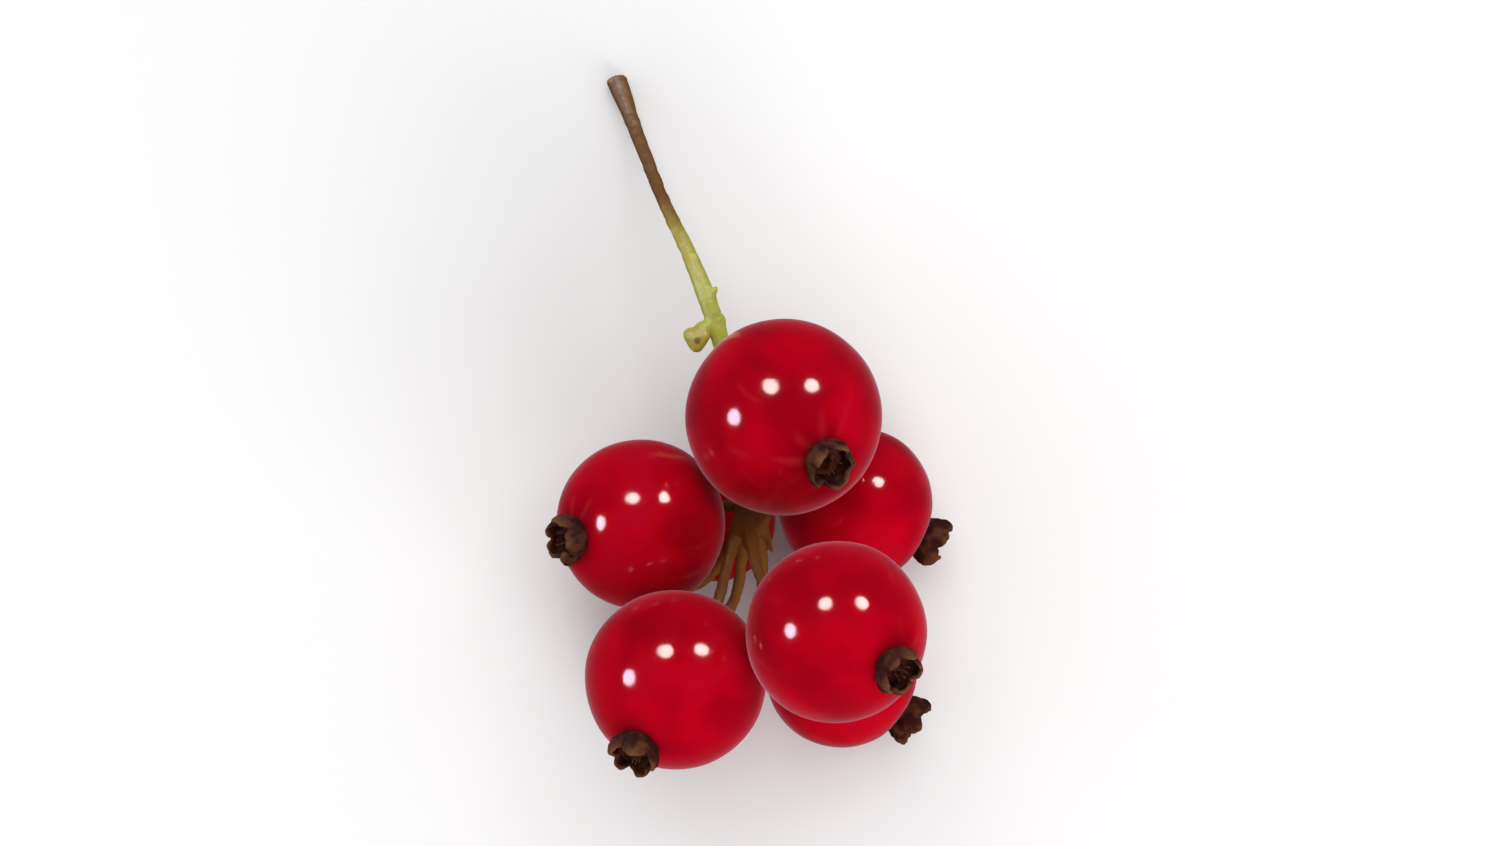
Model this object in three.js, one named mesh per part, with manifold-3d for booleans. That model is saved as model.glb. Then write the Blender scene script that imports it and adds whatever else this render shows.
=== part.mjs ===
// A sprig of redcurrants as picked, lying on a table: one branching stem, eight berries on their little stalks,
// and the dried flower that each ripe berry still carries. Millimetres, +Z up, the stem running towards +Y.
import * as THREE from "three";
import { mergeVertices } from "three/addons/utils/BufferGeometryUtils.js";
import Module from "manifold-3d";

// Berries: nearly round, a little shorter from stalk to flower than across.
const BERRY_FLATTENING = 0.985;
const BERRY_RINGS = 14;
const BERRY_SIDES = 22;

// Dried flowers: a short ragged cup with five withered lobes, open at its end.
const FLOWER_GAP = 0.12; // between the cup's base and the berry
const FLOWER_LENGTH = 1.25;
const FLOWER_BASE_RADIUS = 1.05;
const FLOWER_RIM_RADIUS = 1.2;
const FLOWER_WALL = 0.2;
const FLOWER_CUP_DEPTH = 0.85;
const FLOWER_LOBES = 5;
const FLOWER_LOBE_SHARE = 0.12; // how far a lobe stands out at the rim, as a share of the radius
const FLOWER_SIDES = 15;

// Stem: a main stalk with one little stalk to each berry.
const STALK_GAP = 0.12; // between a stalk's end and its berry
const STALK_APPROACH = 0.9; // length of the last stretch, which points straight at the berry
const STALK_RADII = [0.5, 0.36, 0.3, 0.38]; // from the main stalk to the berry
const MAIN_RADII = [0.62, 0.56, 0.52, 0.5, 0.52, 0.42, 0.36, 0.38, 0.42, 0.6];
const TUBE_SIDES = 10;
const TUBE_STEP = 0.8;
const TIP_SWELLING = 0.85; // radius of the knot from which the last stalks fan out
const SWELLING = 0.55; // radius of the knot where one stalk leaves the main one
const KNOT_DETAIL = 1;

// The main stalk's route, from the knot in the middle of the berries to the picked end on the table.
const MAIN_ROUTE = [
  [-1.3, 2.6, 8.9],
  [-1.8, 5.2, 8.0],
  [-2.3, 8.4, 7.7],
  [-2.75, 11.7, 8.1],
  [-3.6, 14.3, 8.3],
  [-4.6, 16.8, 7.6],
  [-5.6, 18.8, 6.2],
  [-6.6, 21.2, 4.0],
  [-7.6, 23.8, 1.8],
  [-8.6, 26.4, 0.46],
];

// A spur whose berry has dropped, and the small scale that was the leaf of a stalk higher up.
const SPUR_ROUTE = [
  [-3.0, 12.9, 8.2],
  [-3.7, 12.6, 8.5],
  [-4.3, 11.8, 8.6],
];
const SPUR_RADII = [0.36, 0.4, 0.62];
const SCALE_ROUTE = [
  [-3.5, 14.1, 8.4],
  [-3.0, 14.8, 8.7],
];
const SCALE_RADII = [0.42, 0.12];

// Each berry: its middle, its radius, the way its dried flower points, and its stalk's route as far as the
// last stretch. The first four rest on the table.
const BERRIES = [
  {
    name: "tip",
    middle: [3.84, -6.37, 4.2],
    radius: 4.2,
    flower: [0.81, -0.56, -0.15],
    stalk: [[-1.2, 2.4, 8.8], [-0.6, 0.4, 8.0], [-0.5, -1.9, 6.3]],
  },
  {
    name: "inner",
    middle: [-3.15, 2.0, 3.4],
    radius: 3.4,
    flower: [0.5, 0.78, -0.38],
    stalk: [[-1.5, 2.2, 8.8], [-2.6, 0.0, 8.0], [-4.2, -1.6, 6.6]],
  },
  {
    name: "under",
    middle: [-4.9, -6.2, 3.9],
    radius: 3.9,
    flower: [-0.54, -0.69, -0.48],
    stalk: [[-1.4, 2.2, 8.8], [-1.6, 0.3, 8.2], [-1.8, -1.5, 7.2]],
  },
  {
    name: "right",
    middle: [4.65, 2.81, 4.3],
    radius: 4.3,
    flower: [0.89, -0.43, -0.1],
    stalk: [[-1.2, 3.0, 8.8], [-1.0, 4.3, 7.0]],
  },
  {
    name: "left",
    middle: [-7.13, 1.84, 10.56],
    radius: 4.64,
    flower: [-0.8, -0.16, 0.58],
    stalk: [[-1.4, 2.8, 8.8], [-2.0, 2.9, 7.8]],
  },
  {
    name: "lower_left",
    middle: [-5.24, -6.53, 15.08],
    radius: 4.91,
    flower: [-0.4, -0.73, 0.55],
    stalk: [[-1.5, 2.3, 9.0], [-2.0, 1.2, 9.5], [-2.5, -0.7, 10.5]],
  },
  {
    name: "lower_right",
    middle: [3.46, -3.89, 19.1],
    radius: 4.9,
    flower: [0.62, -0.38, 0.69],
    stalk: [[-1.2, 2.2, 9.2], [-1.15, 1.2, 10.8], [-0.8, -0.5, 13.1]],
  },
  {
    name: "top",
    middle: [0.65, 7.67, 13.4],
    radius: 5.35,
    flower: [0.43, -0.43, 0.79],
    stalk: [[-2.4, 9.4, 7.8]],
  },
];

const COLOURS = { berry: 0xc4000f, flower: 0x46231a, stem: 0xa9ac46 };

const UP = new THREE.Vector3(0, 1, 0); // the axis of a lathe's shape
const wasm = await Module();
wasm.setup();

function vectors(points) {
  return points.map((point) => new THREE.Vector3(...point));
}

// The radius at a share of a tube's length, between evenly spaced radii.
function radiusAt(radii, share) {
  const place = share * (radii.length - 1);
  const before = Math.min(Math.floor(place), radii.length - 2);
  return THREE.MathUtils.lerp(radii[before], radii[before + 1], place - before);
}

// A round tube along a smooth curve through the points, as thick as the radii say from end to end.
function taperedTube(points, radii) {
  const thinRadius = 0.05; // so thin that each vertex is nearest to the middle of its own section
  const route = new THREE.CatmullRomCurve3(points, false, "centripetal");
  const steps = Math.max(2, Math.round(route.getLength() / TUBE_STEP));
  const section = new THREE.Shape().absarc(0, 0, thinRadius, 0, 2 * Math.PI);
  const tube = new THREE.ExtrudeGeometry(section, {
    steps,
    extrudePath: route,
    curveSegments: TUBE_SIDES / 2,
  });
  const middles = route.getSpacedPoints(steps);
  const corners = tube.getAttribute("position");
  const corner = new THREE.Vector3();
  for (let i = 0; i < corners.count; i++) {
    corner.fromBufferAttribute(corners, i);
    const distances = middles.map((middle) => middle.distanceTo(corner));
    const nearest = distances.indexOf(Math.min(...distances));
    const thickness = radiusAt(radii, nearest / steps) / thinRadius;
    corner.sub(middles[nearest]).multiplyScalar(thickness).add(middles[nearest]);
    corners.setXYZ(i, corner.x, corner.y, corner.z);
  }
  return tube;
}

function knot(middle, radius) {
  const ball = new THREE.IcosahedronGeometry(radius, KNOT_DETAIL);
  ball.translate(middle.x, middle.y, middle.z);
  return ball;
}

function toSolid(geometry) {
  const bare = geometry.clone();
  bare.deleteAttribute("normal");
  bare.deleteAttribute("uv");
  const merged = mergeVertices(bare);
  return new wasm.Manifold(
    new wasm.Mesh({
      numProp: 3,
      vertProperties: merged.getAttribute("position").array,
      triVerts: new Uint32Array(merged.index.array),
    }),
  );
}

function toGeometry(solid) {
  const { vertProperties, triVerts } = solid.getMesh();
  const geometry = new THREE.BufferGeometry();
  geometry.setAttribute("position", new THREE.BufferAttribute(vertProperties, 3));
  geometry.setIndex(new THREE.BufferAttribute(triVerts, 1));
  geometry.computeVertexNormals();
  return geometry;
}

// The stalk's whole route: its own points, then straight to the berry, opposite to the dried flower.
function stalkRoute(berry) {
  const middle = new THREE.Vector3(...berry.middle);
  const flower = new THREE.Vector3(...berry.flower).normalize();
  const end = middle.clone().addScaledVector(flower, -berry.radius - STALK_GAP);
  const approach = end.clone().addScaledVector(flower, -STALK_APPROACH);
  return [...vectors(berry.stalk), approach, end];
}

function stemGeometry() {
  const mainRoute = vectors(MAIN_ROUTE);
  const topStalk = stalkRoute(BERRIES.find((berry) => berry.name === "top"));
  const spur = vectors(SPUR_ROUTE);
  const pieces = [
    taperedTube(mainRoute, MAIN_RADII),
    taperedTube(spur, SPUR_RADII),
    taperedTube(vectors(SCALE_ROUTE), SCALE_RADII),
    knot(mainRoute[0], TIP_SWELLING),
    knot(topStalk[0], SWELLING),
    knot(spur[0], SWELLING),
    ...BERRIES.map((berry) => taperedTube(stalkRoute(berry), STALK_RADII)),
  ];
  return toGeometry(pieces.map(toSolid).reduce((joined, piece) => joined.add(piece)));
}

function berryGeometry(radius) {
  const profile = [];
  for (let ring = 0; ring <= BERRY_RINGS; ring++) {
    const angle = (Math.PI * ring) / BERRY_RINGS;
    const across = ring === BERRY_RINGS ? 0 : radius * Math.sin(angle);
    profile.push(new THREE.Vector2(across, -radius * BERRY_FLATTENING * Math.cos(angle)));
  }
  return new THREE.LatheGeometry(profile, BERRY_SIDES);
}

// A cup whose outline, away from its axis, swells and shrinks with the lobes as it nears the rim.
function flowerGeometry() {
  const innerRim = FLOWER_RIM_RADIUS - FLOWER_WALL;
  const floor = FLOWER_LENGTH - FLOWER_CUP_DEPTH;
  const profile = [
    new THREE.Vector2(0, 0),
    new THREE.Vector2(FLOWER_BASE_RADIUS, 0),
    new THREE.Vector2((FLOWER_BASE_RADIUS + FLOWER_RIM_RADIUS) / 2, FLOWER_LENGTH / 2),
    new THREE.Vector2(FLOWER_RIM_RADIUS, FLOWER_LENGTH),
    new THREE.Vector2(innerRim, FLOWER_LENGTH),
    new THREE.Vector2(innerRim / 2, floor),
    new THREE.Vector2(0, floor),
  ];
  const cup = new THREE.LatheGeometry(profile, FLOWER_SIDES);
  const corners = cup.getAttribute("position");
  for (let i = 0; i < corners.count; i++) {
    const [x, y, z] = [corners.getX(i), corners.getY(i), corners.getZ(i)];
    const wave = Math.cos(FLOWER_LOBES * Math.atan2(z, x));
    const swelling = 1 + FLOWER_LOBE_SHARE * wave * (y / FLOWER_LENGTH);
    corners.setXYZ(i, x * swelling, y, z * swelling);
  }
  return cup;
}

function named(name, geometry, colour, roughness) {
  const material = new THREE.MeshStandardMaterial({ color: colour, roughness, metalness: 0 });
  const mesh = new THREE.Mesh(geometry, material);
  mesh.name = name;
  return mesh;
}

const sprig = new THREE.Group();
sprig.add(named("stem", stemGeometry(), COLOURS.stem, 0.55));
for (const berry of BERRIES) {
  const middle = new THREE.Vector3(...berry.middle);
  const way = new THREE.Vector3(...berry.flower).normalize();
  const fruit = named(`berry_${berry.name}`, berryGeometry(berry.radius), COLOURS.berry, 0.12);
  fruit.position.copy(middle);
  const flower = named(`dried_flower_${berry.name}`, flowerGeometry(), COLOURS.flower, 0.85);
  flower.position.copy(middle).addScaledVector(way, berry.radius + FLOWER_GAP);
  for (const mesh of [fruit, flower]) mesh.quaternion.setFromUnitVectors(UP, way);
  sprig.add(fruit, flower);
}

// The origin goes to the middle of the box's bottom, on the table.
const box = new THREE.Box3().setFromObject(sprig, true);
const centre = box.getCenter(new THREE.Vector3());
sprig.position.set(-centre.x, -centre.y, -box.min.z);

export default sprig;
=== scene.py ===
"""A sprig of redcurrants lying on a pale table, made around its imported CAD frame.

The file is laid out as an add-on and run as a script. Every berry, dried flower and stalk takes its place and
size from the frame's node of the same name, and each new piece stands for that node.
"""

import math
import random

import bpy
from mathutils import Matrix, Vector


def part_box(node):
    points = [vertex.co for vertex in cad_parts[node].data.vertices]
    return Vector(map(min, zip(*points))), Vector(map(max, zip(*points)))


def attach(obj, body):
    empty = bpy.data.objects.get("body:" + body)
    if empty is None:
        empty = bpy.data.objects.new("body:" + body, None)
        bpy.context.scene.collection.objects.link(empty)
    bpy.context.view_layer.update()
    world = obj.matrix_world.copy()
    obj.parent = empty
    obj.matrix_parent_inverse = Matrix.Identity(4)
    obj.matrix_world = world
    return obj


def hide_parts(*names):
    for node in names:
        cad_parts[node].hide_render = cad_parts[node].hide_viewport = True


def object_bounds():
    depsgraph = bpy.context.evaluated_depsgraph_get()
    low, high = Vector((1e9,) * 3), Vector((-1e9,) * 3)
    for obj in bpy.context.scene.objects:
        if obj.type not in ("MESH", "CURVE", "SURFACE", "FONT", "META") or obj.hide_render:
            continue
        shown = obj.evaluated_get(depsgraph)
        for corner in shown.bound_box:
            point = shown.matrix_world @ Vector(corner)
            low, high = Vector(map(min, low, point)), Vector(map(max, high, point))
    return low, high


bl_info = {
    "name": "Sprig of Redcurrants",
    "version": (1, 0, 0),
    "blender": (4, 5, 0),
    "location": "3D View > Sidebar > Sprig",
    "description": "Makes a sprig of redcurrants around its CAD frame",
    "category": "Add Mesh",
}

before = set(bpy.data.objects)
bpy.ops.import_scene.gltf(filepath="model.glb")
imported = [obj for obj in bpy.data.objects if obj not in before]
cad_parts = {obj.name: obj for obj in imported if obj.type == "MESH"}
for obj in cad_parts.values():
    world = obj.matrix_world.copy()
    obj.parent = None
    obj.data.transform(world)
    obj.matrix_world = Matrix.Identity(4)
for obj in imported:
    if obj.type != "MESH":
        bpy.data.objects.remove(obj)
CAD_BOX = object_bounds()
CAD_MIDDLE = (CAD_BOX[0] + CAD_BOX[1]) / 2

MM = 0.001
BERRY_PREFIX = "berry_"
FLOWER_PREFIX = "dried_flower_"
SPOTS = sorted(
    node.removeprefix(BERRY_PREFIX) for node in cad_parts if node.startswith(BERRY_PREFIX)
)


# Places, read from the frame


class BerryPlace:
    """Where a berry sits: its middle, its radius, the way its flower points and that flower's reach."""

    def __init__(self, spot):
        low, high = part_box(BERRY_PREFIX + spot)
        berry = [v.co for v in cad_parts[BERRY_PREFIX + spot].data.vertices]
        flower = [v.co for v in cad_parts[FLOWER_PREFIX + spot].data.vertices]
        self.middle = (low + high) / 2
        self.radius = max((corner - self.middle).length for corner in berry)
        flower_middle = sum(flower, Vector()) / len(flower)
        self.way = (flower_middle - self.middle).normalized()
        along = [(corner - self.middle).dot(self.way) for corner in flower]
        off_axis = [
            (corner - self.middle - self.way * reach).length for corner, reach in zip(flower, along)
        ]
        self.flower_length = max(along) - self.radius
        self.flower_radius = max(off_axis)


PLACES = {spot: BerryPlace(spot) for spot in SPOTS}


def stem_point(x, y, z):
    """A point on the stem, given in millimetres from the middle of the top berry."""
    return PLACES["top"].middle + Vector((x, y, z)) * MM


# Rounded webs on the stem: each one's radius and the corners that it is stretched between.
WEBS = (
    # The withered bracts where the little stalks part: their body, then a wide and a narrow tip.
    (
        0.22 * MM,
        (
            stem_point(-2.25, -4.77, -4.3),
            stem_point(-0.85, -5.22, -4.2),
            stem_point(-2.85, -6.22, -3.9),
            stem_point(-1.1, -6.22, -3.8),
            stem_point(-1.75, -6.47, -2.5),
        ),
    ),
    (
        0.14 * MM,
        (
            stem_point(-2.15, -6.77, -3.1),
            stem_point(-1.4, -6.77, -2.1),
            stem_point(-1.6, -8.2, -0.3),
        ),
    ),
    (
        0.12 * MM,
        (
            stem_point(-1.35, -6.0, -3.8),
            stem_point(-0.95, -5.8, -3.9),
            stem_point(-0.65, -7.27, -3.6),
        ),
    ),
    # The spur's swollen end.
    (
        0.4 * MM,
        (
            stem_point(-5.1, 4.5, -4.75),
            stem_point(-4.75, 3.9, -4.7),
            stem_point(-4.4, 4.45, -4.75),
        ),
    ),
)
SPUR_SCAR = stem_point(-4.7, 4.2, -4.3)  # where a berry has dropped off the spur


# A dried flower's shape: shares of the rim's radius, or of the flower's length where it says so.

# The wall from the berry out: each step's share of the length, then of the radius.
CUP_WALL = [(-0.2, 0.5), (0.02, 0.7), (0.2, 0.8), (0.42, 0.86), (0.64, 0.88), (0.84, 0.84)]
RIM_LINE = CUP_WALL[-1][1]  # where the edge of the wall stands
RAGGED = 0.06  # how far each corner of the wall strays
LOBE_TURN = 0.2  # how far a lobe is from its even place round the rim, in radians

# How far each part is pulled, least and most.
BULGE = (0.06, 0.16)  # a lobe's wall, outwards
CURL = (-0.42, 0.05)  # a lobe's tip, outwards, or inwards below 0
SWAY = (-0.15, 0.15)  # a lobe's tip, sideways
RISE = (0.0, 0.22)  # a lobe's tip, upwards, of the length
NOTCH = (0.08, 0.3)  # the wall between two lobes, inwards
NOTCH_DROP = 0.22  # the wall between two lobes, downwards, of the length

# Where each pull takes hold: from and to where on the length, how near the line that it is pulled at,
# and how far round that the wall follows.
BULGE_HOLD = (0.3, 0.7, 0.12, 0.45)
TIP_HOLD = (0.83, math.inf, 0.26, 0.4)
NOTCH_HOLD = (0.6, math.inf, 0.12, 0.32)

# The dome that closes the bottom.
PLUG_RADIUS = 0.78
PLUG_FLATNESS = 0.4  # its height over its width
PLUG_MIDDLE = 0.05  # of the length

# The threads.
THREAD_LENGTH = 0.7  # of the length
THREAD_MIDDLE = 0.4  # of the length
THREAD_TURN = 0.4  # how far a thread is from its even place in the ring, in radians
LEAN = (0.1, 0.35)  # how far a thread leans, least and most
FOOT_LEAN = 0.5  # how much of the lean its foot takes
TIP_LEAN = 0.7  # how much more its tip takes

REACH = "reach"  # the attribute that says how far along the flower a vertex is, of the length


# The stage

# Each glint's name, the way its lamp is seen from the sprig, and its colour.
GLINTS = (
    ("upper_glint", (-0.226, 0.585, 0.778), (1.0, 0.93, 0.86)),
    ("right_glint", (0.525, 0.561, 0.638), (1.0, 0.94, 0.88)),
    ("left_glint", (-0.866, 0.0, 0.5), (0.84, 0.82, 1.0)),
)

# The ways that the wide lamps are seen from the sprig.
KEY_WAY = (0.05, 0.35, 0.93)
FRONT_WAY = (0.45, -0.75, 0.48)

PICTURE_SHAPE = 1500 / 846  # the picture's width over its height


# Mesh helpers


def activate(piece):
    """Select only this piece and make it the active one."""
    bpy.ops.object.select_all(action="DESELECT")
    piece.select_set(True)
    bpy.context.view_layer.objects.active = piece


def edit_vertices(piece, wanted):
    """Go into edit mode with only the vertices selected whose place passes the test."""
    bpy.ops.object.mode_set(mode="EDIT")
    bpy.ops.mesh.select_mode(type="VERT")
    bpy.ops.mesh.select_all(action="DESELECT")
    bpy.ops.object.mode_set(mode="OBJECT")
    for vertex in piece.data.vertices:
        vertex.select = wanted(vertex.co)
    bpy.ops.object.mode_set(mode="EDIT")


def pull(piece, wanted, value, reach):
    """Move the chosen vertices, and what is within reach of them a little less."""
    edit_vertices(piece, wanted)
    bpy.ops.transform.translate(
        value=value,
        use_proportional_edit=True,
        proportional_edit_falloff="SMOOTH",
        proportional_size=reach,
    )
    bpy.ops.object.mode_set(mode="OBJECT")


def apply_modifier(piece, kind, **settings):
    """Add a modifier with these settings and apply it."""
    modifier = piece.modifiers.new(kind.title(), kind)
    for setting, value in settings.items():
        setattr(modifier, setting, value)
    bpy.ops.object.modifier_apply(modifier=modifier.name)


def cloud_texture(name, size, depth=2):
    """A soft procedural cloud for displacing."""
    cloud = bpy.data.textures.new(name, "CLOUDS")
    cloud.noise_scale = size
    cloud.noise_depth = depth
    return cloud


def put(piece, way, at):
    """Turn the piece's +Z to point this way, move it there and put both in its mesh."""
    activate(piece)
    piece.rotation_mode = "QUATERNION"
    piece.rotation_quaternion = Vector((0, 0, 1)).rotation_difference(way)
    piece.location = at
    bpy.ops.object.transform_apply(location=True, rotation=True, scale=True)


def finish_piece(piece, material, node):
    """Give the piece its material and its body, and hide the CAD node that it stands for."""
    piece.data.materials.clear()
    piece.data.materials.append(material)
    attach(piece, "root")
    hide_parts(node)


# Shader helpers


class Value:
    """A shader socket that adds Math nodes when it is used in arithmetic."""

    def __init__(self, shader, socket):
        self.shader = shader
        self.socket = socket

    def math(self, operation, first, second):
        settings = {"operation": operation}
        return self.shader.node("ShaderNodeMath", settings, {0: first, 1: second})

    def __add__(self, other):
        return self.math("ADD", self, other)

    def __sub__(self, other):
        return self.math("SUBTRACT", self, other)

    def __rsub__(self, other):
        return self.math("SUBTRACT", other, self)

    def __mul__(self, other):
        return self.math("MULTIPLY", self, other)

    __radd__ = __add__
    __rmul__ = __mul__


class Shader:
    """A material whose nodes are made by plain calls."""

    def __init__(self, name):
        self.material = bpy.data.materials.new(name)
        self.material.use_nodes = True
        self.tree = self.material.node_tree
        self.tree.nodes.clear()

    def node(self, kind, settings=None, inputs=None, output=0):
        """Add a node, give it its settings, then its inputs, and return one of its outputs."""
        node = self.tree.nodes.new(kind)
        for setting, value in (settings or {}).items():
            if setting == "stops":
                self.set_stops(node.color_ramp, value)
            else:
                setattr(node, setting, value)
        for socket, value in (inputs or {}).items():
            if isinstance(value, Value):
                self.tree.links.new(value.socket, node.inputs[socket])
            else:
                node.inputs[socket].default_value = value
        return Value(self, node.outputs[output])

    def set_stops(self, ramp, stops):
        """Give the ramp these stops: each one's position and colour."""
        while len(ramp.elements) < len(stops):
            ramp.elements.new(1.0)
        for element, (position, colour) in zip(ramp.elements, stops):
            element.position = position
            element.color = (*colour, 1.0)

    def coordinates(self, kind="Object"):
        """A point's place: Object for its place in space, UV for its place on the skin."""
        return self.node("ShaderNodeTexCoord", output=kind)

    def part(self, vector, axis):
        """One of a vector's three numbers: X, Y or Z."""
        return self.node("ShaderNodeSeparateXYZ", None, {0: vector}, output=axis)

    def function(self, operation, value):
        """A function of one value, such as its sine."""
        return self.node("ShaderNodeMath", {"operation": operation}, {0: value})

    def distance(self, point, target):
        """How far the point is from the target."""
        settings = {"operation": "DISTANCE"}
        return self.node("ShaderNodeVectorMath", settings, {0: point, 1: target}, output="Value")

    def noise(self, vector, size, detail=3.0, roughness=0.5, distortion=0.0):
        """Noise from 0 to 1 whose lumps are about this size."""
        inputs = {
            "Vector": vector,
            "Scale": 1 / size,
            "Detail": detail,
            "Roughness": roughness,
            "Distortion": distortion,
        }
        return self.node("ShaderNodeTexNoise", None, inputs)

    def smooth(self, value, low, high):
        """0 below low, 1 above high and smooth between."""
        settings = {"interpolation_type": "SMOOTHSTEP"}
        inputs = {"Value": value, "From Min": low, "From Max": high}
        return self.node("ShaderNodeMapRange", settings, inputs)

    def mix(self, factor, first, second):
        """A colour that goes from first to second as the factor goes from 0 to 1."""
        first = first if isinstance(first, Value) else (*first, 1.0)
        second = second if isinstance(second, Value) else (*second, 1.0)
        inputs = {0: factor, 6: first, 7: second}
        return self.node("ShaderNodeMix", {"data_type": "RGBA"}, inputs, output=2)

    def surface(self, inputs):
        """Make a Principled surface with these inputs the material's output, and return the material."""
        surface = self.node("ShaderNodeBsdfPrincipled", None, inputs)
        output = self.tree.nodes.new("ShaderNodeOutputMaterial")
        self.tree.links.new(surface.socket, output.inputs["Surface"])
        return self.material

    def bump(self, height, strength, distance):
        """A normal for small relief: distance is how high it is where the height is 1."""
        inputs = {"Height": height, "Strength": strength, "Distance": distance}
        return self.node("ShaderNodeBump", None, inputs)


# Materials


def berry_skin(settings):
    """Shiny, translucent red, lighter and darker at random, with a few faint pale veins from stalk to flower;
    the lighter patches are partly the flesh's own tone and partly painted glow.
    """
    shader = Shader("berry_skin")
    point = shader.coordinates()
    skin = shader.coordinates("UV")
    around = shader.part(skin, "X")
    along = shader.part(skin, "Y")  # 0 at the stalk and 1 at the flower
    wobble = shader.noise(point, size=2.2 * MM, detail=2.0)
    turn = (around + wobble * settings.vein_wobble) * (settings.veins * math.pi)
    off_line = shader.function("ABSOLUTE", shader.function("SINE", turn))
    latitude = shader.function("SINE", along * math.pi)
    line = 1 - shader.smooth(off_line * latitude, low=0.0, high=settings.vein_width)
    patchy = shader.smooth(shader.noise(point, size=3.2 * MM, detail=1.0), low=0.52, high=0.72)
    # Lighter and darker red at random: partly the flesh's own tone and partly painted glow of light through
    # the flesh.
    flesh_and_glow = shader.noise(point, size=4.0 * MM, detail=2.0, roughness=0.5, distortion=0.3)
    colour = shader.mix(shader.smooth(flesh_and_glow, low=0.34, high=0.64), settings.deep, settings.bright)
    bloom = shader.noise(point, size=4.0 * MM, detail=3.0, roughness=0.6)
    bloom = shader.smooth(bloom, low=0.5, high=0.75)
    colour = shader.mix(bloom * settings.haze_share, colour, settings.haze)
    colour = shader.mix(line * patchy * settings.vein_share, colour, settings.vein)
    ragged = along + (wobble - 0.5) * settings.ring_wobble
    flower_ring = shader.smooth(ragged, low=0.925, high=0.97)
    colour = shader.mix(flower_ring * settings.flower_ring_share, colour, settings.scar)
    stalk_ring = 1 - shader.smooth(ragged, low=0.02, high=0.06)
    colour = shader.mix(stalk_ring * settings.stalk_ring_share, colour, settings.scar)
    mottle = shader.noise(point, size=1.2 * MM, detail=3.0)
    dimples = shader.noise(point, size=0.5 * MM, detail=2.0)
    return shader.surface(
        {
            "Base Color": colour,
            "Roughness": mottle * settings.roughness_range + settings.roughness,
            "Normal": shader.bump(dimples, strength=0.05, distance=0.1 * MM),
            "Subsurface Weight": 0.9,
            "Subsurface Radius": (1.0, 0.08, 0.04),
            "Subsurface Scale": settings.glow_depth,
            "IOR": 1.36,
            "Sheen Weight": 0.6,
            "Sheen Roughness": 0.27,
            "Sheen Tint": (1.0, 0.5, 0.62, 1.0),
        }
    )


def dried_flower_skin(settings):
    """Dry, wrinkled brown, paler along the ragged rim and darker down in the cup: partly the rim's own paler
    tone and partly painted shade in the cup's hollow.
    """
    shader = Shader("dried_flower_skin")
    point = shader.coordinates()
    reach = shader.node("ShaderNodeAttribute", {"attribute_name": REACH}, output="Fac")
    grain = shader.noise(point, size=0.3 * MM, detail=4.0, roughness=0.6)
    patches = shader.noise(point, size=0.8 * MM, detail=2.0)
    colour = shader.mix(shader.smooth(patches, low=0.4, high=0.65), settings.dark, settings.brown)
    # Paler towards the rim by the reach attribute: partly the rim's own tone and partly painted shade, which
    # leaves the cup's hollow darker.
    rim = shader.smooth(reach + (grain - 0.5) * settings.rim_wobble, low=0.6, high=1.15)
    colour = shader.mix(rim * settings.rim_share, colour, settings.pale)
    creases = shader.smooth(grain, low=0.52, high=0.7)
    colour = shader.mix(creases * settings.crease_share, colour, settings.dark)
    return shader.surface(
        {
            "Base Color": colour,
            "Roughness": grain * settings.roughness_range + settings.roughness,
            "Normal": shader.bump(grain, strength=0.6, distance=0.08 * MM),
            "Specular IOR Level": 0.08,
        }
    )


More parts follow.
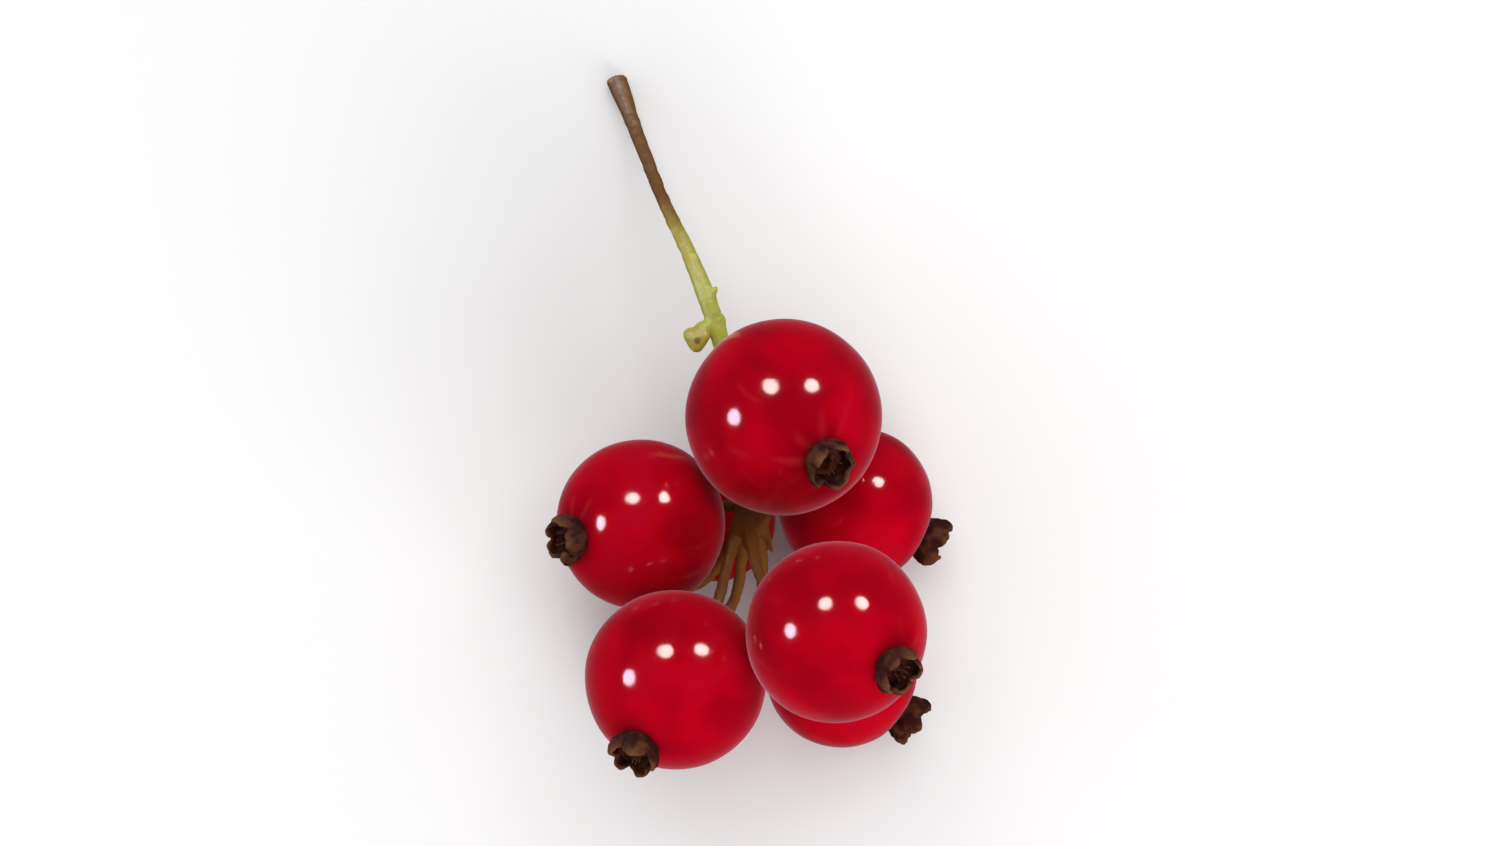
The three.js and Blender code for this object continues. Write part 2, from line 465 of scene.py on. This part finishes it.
def stem_skin(settings):
    """Yellow-green by the top berry, russet among the berries and brown towards the picked end; the russet
    among the berries is partly the stalks' own colour and partly painted shade and red reflection from the
    berries round them.
    """
    shader = Shader("stem_skin")
    point = shader.coordinates()
    start, end = PLACES["top"].middle.y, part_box("stem")[1].y
    patches = shader.noise(point, size=2.2 * MM, detail=3.0)
    share = (shader.part(point, "Y") - start) * (1 / (end - start))
    share = share + (patches - 0.5) * settings.fade_wobble
    stops = [
        # The russet at the start, among the berries, is partly painted shade and red reflection from the
        # berries round the little stalks.
        (0.0, settings.russet_and_shade),
        (0.1, settings.green),
        (0.28, settings.green),
        (0.52, settings.yellow),
        (0.62, settings.russet_and_shade),
        (0.72, settings.brown),
        (0.975, settings.brown),
        (1.0, settings.torn),
    ]
    colour = shader.node("ShaderNodeValToRGB", {"stops": stops}, {0: share})
    grain = shader.noise(point, size=0.45 * MM, detail=4.0, roughness=0.6)
    fresh = shader.smooth(share, low=0.05, high=0.15) - shader.smooth(share, low=0.5, high=0.66)
    # Pale streaks near the top berry: partly the stem's own fine streaks and partly painted sheen.
    streaks_and_sheen = shader.smooth(grain, low=0.5, high=0.72) * fresh
    colour = shader.mix(streaks_and_sheen * settings.streak_and_sheen_share, colour, settings.pale)
    blotches = shader.smooth(shader.noise(point, size=0.9 * MM, detail=2.0), low=0.5, high=0.72)
    colour = shader.mix(blotches * settings.blotch_share, colour, settings.brown)
    from_scar = shader.distance(point, SPUR_SCAR)
    spur = 1 - shader.smooth(from_scar, low=0.7 * MM, high=1.1 * MM)
    colour = shader.mix(spur * settings.spur_share, colour, settings.yellow)
    scar = 1 - shader.smooth(from_scar, low=0.12 * MM, high=0.26 * MM)
    colour = shader.mix(scar * settings.scar_share, colour, settings.brown)
    return shader.surface(
        {
            "Base Color": colour,
            "Roughness": grain * settings.roughness_range + settings.roughness,
            "Normal": shader.bump(grain, strength=0.5, distance=0.08 * MM),
            "Subsurface Weight": 0.3,
            "Subsurface Radius": (1.0, 0.8, 0.3),
            "Subsurface Scale": 0.35 * MM,
        }
    )


def table_top(settings):
    """Plain, nearly white and matt."""
    shader = Shader("table_top")
    cloud = shader.noise(shader.coordinates(), size=60 * MM, detail=2.0)
    colour = shader.mix(cloud, settings.floor, settings.floor_shade)
    return shader.surface({"Base Color": colour, "Roughness": 0.7})


# Settings


def number_setting(name, description, default):
    return bpy.props.FloatProperty(name=name, description=description, default=default)


def count_setting(name, description, default):
    return bpy.props.IntProperty(name=name, description=description, default=default, min=1)


def share_setting(name, description, default):
    return bpy.props.FloatProperty(
        name=name, description=description, default=default, subtype="FACTOR", min=0, max=1
    )


def length_setting(name, description, default):
    return bpy.props.FloatProperty(
        name=name, description=description, default=default, unit="LENGTH", precision=5
    )


def colour_setting(name, description, default):
    return bpy.props.FloatVectorProperty(
        name=name, description=description, default=default, subtype="COLOR", size=3, min=0, max=1
    )


class BerrySettings(bpy.types.PropertyGroup):
    """Sizes and colours of the berries."""

    sides: count_setting("Sides", "Faces round the berry", 96)
    rings: count_setting("Rings", "Faces from stalk to flower", 64)
    squash: share_setting("Squash", "Length from stalk to flower, as a share of the width", 0.985)
    stalk_dimple: length_setting("Stalk dimple", "Depth of the hollow round the stalk", 0.3 * MM)
    stalk_reach: share_setting("Stalk reach", "Size of that hollow, as a share of the radius", 0.35)
    flower_dimple: length_setting("Flower dimple", "Depth of the flat under the flower", 0.15 * MM)
    flower_reach: share_setting("Flower reach", "Size of that flat, as a share of the radius", 0.45)
    lumps: length_setting("Lumps", "How far the skin is from round", 0.12 * MM)
    lump_size: share_setting("Lump size", "Size of a lump, as a share of the radius", 0.8)
    glow_depth: length_setting("Glow depth", "How deep light goes into the flesh", 4.0 * MM)
    roughness: share_setting("Roughness", "Least roughness of the skin", 0.07)
    roughness_range: share_setting("Roughness range", "How much rougher it gets in places", 0.06)
    # Bright and deep: partly the flesh's own tone and partly painted glow.
    bright: colour_setting("Bright", "Ripe red where the flesh is clear", (0.46, 0.0, 0.009))
    deep: colour_setting("Deep", "Darker red where the flesh is cloudy", (0.31, 0.0, 0.008))
    haze: colour_setting("Haze", "Faint bloom on the skin", (0.36, 0.006, 0.035))
    haze_share: share_setting("Haze share", "Strength of the bloom", 0.3)
    veins: count_setting("Veins", "Veins round a berry", 9)
    vein_width: share_setting("Vein width", "Where a vein fades out, from 0 to 1 half-way to the next", 0.3)
    vein_wobble: share_setting("Vein wobble", "How far a vein strays, as a share of a turn", 0.05)
    vein: colour_setting("Vein", "Pale red of the veins", (0.7, 0.07, 0.05))
    vein_share: share_setting("Vein share", "Strength of the veins", 0.12)
    scar: colour_setting("Scar", "Brown red round the stalk and the flower", (0.12, 0.012, 0.006))
    ring_wobble: share_setting("Ring wobble", "How ragged the brown red rings are", 0.03)
    flower_ring_share: share_setting("Flower ring share", "Strength of the flower's ring", 0.75)
    stalk_ring_share: share_setting("Stalk ring share", "Strength of the stalk's ring", 0.6)


class FlowerSettings(bpy.types.PropertyGroup):
    """Sizes and colours of the dried flowers."""

    sides: count_setting("Sides", "Corners round the cup", 40)
    lobes: count_setting("Lobes", "Withered lobes of the rim", 5)
    threads: count_setting("Threads", "Dry threads in the cup", 6)
    thread_base: length_setting("Thread base", "Radius of a thread's foot", 0.09 * MM)
    thread_tip: length_setting("Thread tip", "Radius of a thread's tip", 0.04 * MM)
    wall: length_setting("Wall", "Thickness of the papery wall", 0.2 * MM)
    wrinkles: length_setting("Wrinkles", "Height of the wrinkles", 0.22 * MM)
    sink: length_setting("Sink", "How deep the cup's base is in the berry", 0.2 * MM)
    roughness: share_setting("Roughness", "Least roughness", 0.75)
    roughness_range: share_setting("Roughness range", "How much rougher it gets in places", 0.2)
    brown: colour_setting("Brown", "Main colour", (0.088, 0.026, 0.012))
    dark: colour_setting("Dark", "Colour of the creases", (0.03, 0.005, 0.004))
    crease_share: share_setting("Crease share", "Strength of the creases", 0.6)
    # Pale rim: partly the rim's own tone and partly painted shade, which leaves the cup's hollow darker.
    pale: colour_setting("Pale", "Colour of the rim's edge", (0.2, 0.085, 0.032))
    rim_share: share_setting("Rim share", "Strength of the pale edge", 0.75)
    rim_wobble: share_setting("Rim wobble", "How ragged the pale edge is", 0.8)


class StemSettings(bpy.types.PropertyGroup):
    """Sizes and colours of the stem."""

    fineness: length_setting("Fineness", "Size of the mesh's faces", 0.09 * MM)
    lumps: length_setting("Lumps", "Unevenness of the stalks", 0.12 * MM)
    collar_length: length_setting("Collar length", "Length of the collar at a berry", 0.9 * MM)
    collar_sink: length_setting("Collar sink", "How deep a collar goes into its berry", 0.4 * MM)
    collar_start: length_setting("Collar start", "Radius of a collar on its stalk", 0.3 * MM)
    collar_end: length_setting("Collar end", "Radius of a collar in its berry", 0.5 * MM)
    roughness: share_setting("Roughness", "Least roughness", 0.35)
    roughness_range: share_setting("Roughness range", "How much rougher it gets in places", 0.25)
    green: colour_setting("Green", "Fresh part by the berries", (0.44, 0.5, 0.05))
    # Russet: partly the stalks' own colour and partly painted shade and red reflection from the berries round
    # them.
    russet_and_shade: colour_setting("Russet", "Stalks among the berries", (0.17, 0.06, 0.006))
    yellow: colour_setting("Yellow", "Where the green fades", (0.42, 0.34, 0.035))
    brown: colour_setting("Brown", "Towards the picked end", (0.17, 0.07, 0.013))
    torn: colour_setting("Torn", "Inside of the picked end", (0.45, 0.34, 0.16))
    fade_wobble: share_setting("Fade wobble", "How uneven the fading is, as a share of the stem", 0.12)
    # Pale streaks: partly the stem's own and partly painted sheen.
    pale: colour_setting("Pale", "Fine streaks", (0.64, 0.68, 0.26))
    streak_and_sheen_share: share_setting("Streak share", "Strength of the streaks", 0.45)
    blotch_share: share_setting("Blotch share", "Strength of the brown blotches", 0.35)
    spur_share: share_setting("Spur share", "How yellow the spur is", 0.75)
    scar_share: share_setting("Scar share", "Strength of the spur's scar", 0.85)


class StageSettings(bpy.types.PropertyGroup):
    """The table, the lamps and the camera."""

    floor: colour_setting("Floor", "Table top", (0.86, 0.86, 0.862))
    floor_shade: colour_setting("Floor shade", "Faint clouding of the table top", (0.83, 0.83, 0.832))
    floor_size: length_setting("Floor size", "Length of the table's sides", 6.0)
    sky: number_setting("Sky", "Strength of the soft light", 0.65)
    key: number_setting("Key", "Brightness of the wide upper lamp", 2.4)
    fill: number_setting("Fill", "Brightness of the wide front lamp", 3.6)
    wide_distance: length_setting("Wide distance", "From a wide lamp to the sprig", 1.0)
    wide_size: length_setting("Wide size", "Width of a wide lamp", 0.8)
    glint: number_setting("Glint", "Brightness of the glints", 36.0)
    glint_distance: length_setting("Glint distance", "From a glint's lamp to the sprig", 0.5)
    glint_size: length_setting("Glint size", "Width of a glint's lamp", 0.145)
    camera_distance: length_setting("Camera distance", "From the sprig's middle", 0.6)
    camera_start: length_setting("Camera start", "What is nearer than this isn't seen", 0.01)
    view_height: length_setting("View height", "What the picture shows from top to bottom", 46 * MM)


# Pieces


def make_berry(spot, settings, skin):
    """A sphere pressed in at the stalk and the flower, gently uneven, turned and placed."""
    berry = PLACES[spot]
    bpy.ops.mesh.primitive_uv_sphere_add(
        segments=settings.sides, ring_count=settings.rings, radius=berry.radius
    )
    piece = bpy.context.object
    piece.name = "fruit_" + spot
    edit_vertices(piece, lambda at: True)
    bpy.ops.transform.resize(value=(1, 1, settings.squash))
    bpy.ops.transform.rotate(
        value=random.Random(spot).uniform(0, math.tau), orient_axis="Z", center_override=(0, 0, 0)
    )
    bpy.ops.object.mode_set(mode="OBJECT")
    near_pole = 0.999 * settings.squash * berry.radius  # above every ring, so only the pole is past it
    stalk_press = (0, 0, settings.stalk_dimple)
    flower_press = (0, 0, -settings.flower_dimple)
    pull(piece, lambda at: at.z < -near_pole, stalk_press, settings.stalk_reach * berry.radius)
    pull(piece, lambda at: at.z > near_pole, flower_press, settings.flower_reach * berry.radius)
    put(piece, berry.way, berry.middle)
    lumps = cloud_texture("berry_lumps", size=settings.lump_size * berry.radius, depth=1)
    apply_modifier(
        piece, "DISPLACE", texture=lumps, strength=settings.lumps, mid_level=0.5, texture_coords="LOCAL"
    )
    bpy.ops.object.shade_smooth()
    finish_piece(piece, skin, BERRY_PREFIX + spot)


def add_cup(sides, rim, length):
    """The cup without thickness: a round base just under the origin, extruded up to the open rim."""
    (start, share), *steps = CUP_WALL
    bpy.ops.mesh.primitive_circle_add(
        vertices=sides, radius=share * rim, location=(0, 0, start * length), fill_type="NGON"
    )
    cup = bpy.context.object
    bpy.ops.object.transform_apply(location=True, rotation=False, scale=False)
    bpy.ops.object.mode_set(mode="EDIT")
    bpy.ops.mesh.select_mode(type="EDGE")
    bpy.ops.mesh.select_all(action="DESELECT")
    bpy.ops.mesh.select_non_manifold()
    for after, wide in steps:
        rise = (0, 0, (after - start) * length)
        bpy.ops.mesh.extrude_edges_move(TRANSFORM_OT_translate={"value": rise})
        bpy.ops.transform.resize(value=(wide / share, wide / share, 1))
        start, share = after, wide
    bpy.ops.object.mode_set(mode="OBJECT")
    return cup


def pull_wall(cup, line, hold, value, rim, length):
    """Pull the wall where it stands near this upright line."""
    low, high, near, reach = hold
    pull(
        cup,
        lambda at: low * length < at.z < high * length and (at.xy - line.xy).length < near * rim,
        tuple(value),
        reach * rim,
    )


def wither_lobe(cup, angle, turn, rim, length, chance):
    """Bulge one lobe's wall, curl its tip and pull down the notch that follows it."""
    out = Vector((math.cos(angle), math.sin(angle), 0))
    tip = out * RIM_LINE * rim
    pull_wall(cup, tip, BULGE_HOLD, out * chance.uniform(*BULGE) * rim, rim, length)
    curl = out * chance.uniform(*CURL) * rim
    side = Vector((-out.y, out.x, 0)) * chance.uniform(*SWAY) * rim
    rise = Vector((0, 0, chance.uniform(*RISE) * length))
    pull_wall(cup, tip, TIP_HOLD, curl + side + rise, rim, length)
    notch = Vector((math.cos(angle + turn / 2), math.sin(angle + turn / 2), 0)) * RIM_LINE * rim
    drop = Vector((0, 0, NOTCH_DROP * length))
    pull_wall(cup, notch, NOTCH_HOLD, notch * -chance.uniform(*NOTCH) - drop, rim, length)


def add_plug(rim, length):
    """The flat dome that closes the bottom of the cup."""
    bpy.ops.mesh.primitive_uv_sphere_add(
        segments=24,
        ring_count=12,
        radius=PLUG_RADIUS * rim,
        scale=(1, 1, PLUG_FLATNESS),
        location=(0, 0, PLUG_MIDDLE * length),
    )
    bpy.ops.object.transform_apply(location=True, rotation=True, scale=True)
    return bpy.context.object


def add_thread(angle, settings, rim, length, chance):
    """A dry thread in the cup, whose tip leans out this way."""
    lean = Vector((math.cos(angle), math.sin(angle), 0)) * chance.uniform(*LEAN) * rim
    bpy.ops.mesh.primitive_cone_add(
        vertices=8,
        radius1=settings.thread_base,
        radius2=settings.thread_tip,
        depth=THREAD_LENGTH * length,
        location=(lean.x * FOOT_LEAN, lean.y * FOOT_LEAN, THREAD_MIDDLE * length),
    )
    thread = bpy.context.object
    edit_vertices(thread, lambda at: at.z > 0)
    bpy.ops.transform.translate(value=tuple(lean * TIP_LEAN))
    bpy.ops.object.mode_set(mode="OBJECT")
    return thread


def make_dried_flower(spot, settings, skin):
    """A short papery cup, its rim pulled into ragged lobes, with the dry threads inside."""
    berry = PLACES[spot]
    chance = random.Random("flower " + spot)
    rim, length = berry.flower_radius, berry.flower_length
    piece = add_cup(settings.sides, rim, length)
    piece.name = "flower_" + spot
    turn = math.tau / settings.lobes
    for lobe in range(settings.lobes):
        angle = lobe * turn + chance.uniform(-LOBE_TURN, LOBE_TURN)
        wither_lobe(piece, angle, turn, rim, length, chance)
    edit_vertices(piece, lambda at: at.z > 0)
    bpy.ops.transform.vertex_random(offset=RAGGED * rim, seed=chance.randrange(1000))
    bpy.ops.object.mode_set(mode="OBJECT")
    activate(piece)
    apply_modifier(piece, "SOLIDIFY", thickness=settings.wall, offset=-1)
    apply_modifier(piece, "SUBSURF", levels=2, render_levels=2)
    wrinkles = cloud_texture("flower_wrinkles", size=0.4 * MM)
    apply_modifier(
        piece, "DISPLACE", texture=wrinkles, strength=settings.wrinkles, texture_coords="LOCAL"
    )
    parts = [add_plug(rim, length)]
    for thread in range(settings.threads):
        angle = thread * math.tau / settings.threads + chance.uniform(-THREAD_TURN, THREAD_TURN)
        parts.append(add_thread(angle, settings, rim, length, chance))
    activate(piece)
    for part in parts:
        part.select_set(True)
    bpy.ops.object.join()
    reach = piece.data.attributes.new(REACH, "FLOAT", "POINT")
    for vertex, value in zip(piece.data.vertices, reach.data):
        value.value = vertex.co.z / length
    bpy.ops.object.shade_smooth()
    put(piece, berry.way, berry.middle + berry.way * (berry.radius - settings.sink))
    finish_piece(piece, skin, FLOWER_PREFIX + spot)


def add_cone(start, end, start_radius, end_radius):
    """A round cone from one point to another."""
    bpy.ops.mesh.primitive_cone_add(
        vertices=16, radius1=start_radius, radius2=end_radius, depth=(end - start).length
    )
    cone = bpy.context.object
    put(cone, (end - start).normalized(), (start + end) / 2)
    return cone


def add_web(corners, radius):
    """A web with rounded edges, stretched between these corners."""
    balls = []
    for corner in corners:
        bpy.ops.mesh.primitive_uv_sphere_add(segments=16, ring_count=10, radius=radius, location=corner)
        balls.append(bpy.context.object)
    for ball in balls:
        ball.select_set(True)
    bpy.ops.object.join()
    edit_vertices(balls[-1], lambda at: True)
    bpy.ops.mesh.convex_hull()
    bpy.ops.object.mode_set(mode="OBJECT")
    return balls[-1]


def make_stem(settings, skin):
    """The frame's stem grown together with a collar at each berry and its webs, then roughened."""
    piece = bpy.data.objects.new("stalk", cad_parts["stem"].data.copy())
    bpy.context.scene.collection.objects.link(piece)
    additions = []
    for berry in PLACES.values():
        end = berry.middle - berry.way * (berry.radius - settings.collar_sink)
        start = end - berry.way * settings.collar_length
        additions.append(add_cone(start, end, settings.collar_start, settings.collar_end))
    for radius, corners in WEBS:
        additions.append(add_web(corners, radius))
    activate(piece)
    for addition in additions:
        addition.select_set(True)
    bpy.ops.object.join()
    bpy.ops.object.mode_set(mode="EDIT")
    bpy.ops.mesh.select_all(action="SELECT")
    bpy.ops.mesh.remove_doubles(threshold=0.001 * MM)
    bpy.ops.mesh.normals_make_consistent(inside=False)
    bpy.ops.object.mode_set(mode="OBJECT")
    apply_modifier(piece, "REMESH", mode="VOXEL", voxel_size=settings.fineness)
    apply_modifier(piece, "SMOOTH", factor=0.5, iterations=6)
    lumps = cloud_texture("stem_lumps", size=0.9 * MM)
    apply_modifier(piece, "DISPLACE", texture=lumps, strength=settings.lumps, texture_coords="LOCAL")
    bpy.ops.object.shade_smooth()
    finish_piece(piece, skin, "stem")


# Stage


def make_table(settings):
    """A wide table top, which leaves no reflection on the berries."""
    bpy.ops.object.select_all(action="DESELECT")
    bpy.ops.mesh.primitive_plane_add(size=settings.floor_size)
    table = bpy.context.object
    table.name = "table"
    table.data.materials.append(table_top(settings))
    table.visible_glossy = False


def make_lamp(name, way, distance, size, brightness, colour=(1.0, 1.0, 1.0)):
    """A round soft lamp that shines on the sprig from this way."""
    way = Vector(way).normalized()
    bpy.ops.object.light_add(type="AREA", location=CAD_MIDDLE + way * distance)
    lamp = bpy.context.object
    lamp.name = name
    lamp.rotation_mode = "QUATERNION"
    lamp.rotation_quaternion = way.to_track_quat("Z", "Y")
    lamp.data.shape = "DISK"
    lamp.data.size = size
    lamp.data.energy = brightness * math.pi * math.pi * (size / 2) ** 2
    lamp.data.color = colour
    return lamp


def make_lamps(settings):
    """Small bright lamps that are seen only as glints, and wide ones that leave no glint."""
    for name, way, colour in GLINTS:
        lamp = make_lamp(
            name, way, settings.glint_distance, settings.glint_size, settings.glint, colour
        )
        lamp.visible_diffuse = False
    for name, way, brightness in (
        ("key_lamp", KEY_WAY, settings.key),
        ("front_lamp", FRONT_WAY, settings.fill),
    ):
        lamp = make_lamp(name, way, settings.wide_distance, settings.wide_size, brightness)
        lamp.visible_glossy = False


def make_soft_light(scene, settings):
    """Even white light from all round, which leaves no reflection on the berries."""
    scene.world = bpy.data.worlds.new("soft_light")
    scene.world.use_nodes = True
    background = scene.world.node_tree.nodes["Background"]
    background.inputs["Color"].default_value = (1, 1, 1, 1)
    background.inputs["Strength"].default_value = settings.sky
    scene.world.cycles_visibility.glossy = False


def make_camera(scene, settings):
    """A camera right above the sprig, looking straight down."""
    bpy.ops.object.camera_add(location=CAD_MIDDLE + Vector((0, 0, settings.camera_distance)))
    camera = bpy.context.object
    view_width = settings.view_height * PICTURE_SHAPE
    camera.data.lens = camera.data.sensor_width * settings.camera_distance / view_width
    camera.data.clip_start = settings.camera_start
    scene.camera = camera


# Operators


class SPRIG_OT_berries(bpy.types.Operator):
    """Make the berries"""

    bl_idname = "sprig.berries"
    bl_label = "Berries"

    def execute(self, context):
        settings = context.scene.sprig_berries
        skin = berry_skin(settings)
        for spot in SPOTS:
            make_berry(spot, settings, skin)
        return {"FINISHED"}


class SPRIG_OT_dried_flowers(bpy.types.Operator):
    """Make the dried flower at the end of each berry"""

    bl_idname = "sprig.dried_flowers"
    bl_label = "Dried flowers"

    def execute(self, context):
        settings = context.scene.sprig_flowers
        skin = dried_flower_skin(settings)
        for spot in SPOTS:
            make_dried_flower(spot, settings, skin)
        return {"FINISHED"}


class SPRIG_OT_stem(bpy.types.Operator):
    """Make the stem with its little stalks"""

    bl_idname = "sprig.stem"
    bl_label = "Stem"

    def execute(self, context):
        settings = context.scene.sprig_stem
        make_stem(settings, stem_skin(settings))
        return {"FINISHED"}


class SPRIG_OT_stage(bpy.types.Operator):
    """Make the table, the lamps, the soft light and the camera"""

    bl_idname = "sprig.stage"
    bl_label = "Stage"

    def execute(self, context):
        settings = context.scene.sprig_stage
        make_table(settings)
        make_lamps(settings)
        make_soft_light(context.scene, settings)
        make_camera(context.scene, settings)
        context.scene.view_settings.view_transform = "Standard"
        return {"FINISHED"}


class SPRIG_PT_panel(bpy.types.Panel):
    """The sprig's steps in the sidebar"""

    bl_idname = "SPRIG_PT_panel"
    bl_label = "Sprig of redcurrants"
    bl_space_type = "VIEW_3D"
    bl_region_type = "UI"
    bl_category = "Sprig"

    def draw(self, context):
        for operator in OPERATORS:
            self.layout.operator(operator.bl_idname)


OPERATORS = (SPRIG_OT_stem, SPRIG_OT_berries, SPRIG_OT_dried_flowers, SPRIG_OT_stage)
SETTINGS = {
    "sprig_berries": BerrySettings,
    "sprig_flowers": FlowerSettings,
    "sprig_stem": StemSettings,
    "sprig_stage": StageSettings,
}


def register():
    for group in (*SETTINGS.values(), *OPERATORS, SPRIG_PT_panel):
        bpy.utils.register_class(group)
    for name, group in SETTINGS.items():
        setattr(bpy.types.Scene, name, bpy.props.PointerProperty(type=group))


def unregister():
    for name in SETTINGS:
        delattr(bpy.types.Scene, name)
    for group in reversed((*SETTINGS.values(), *OPERATORS, SPRIG_PT_panel)):
        bpy.utils.unregister_class(group)


def main():
    register()
    bpy.ops.sprig.stem()
    bpy.ops.sprig.berries()
    bpy.ops.sprig.dried_flowers()
    bpy.ops.sprig.stage()


if __name__ == "__main__":
    main()
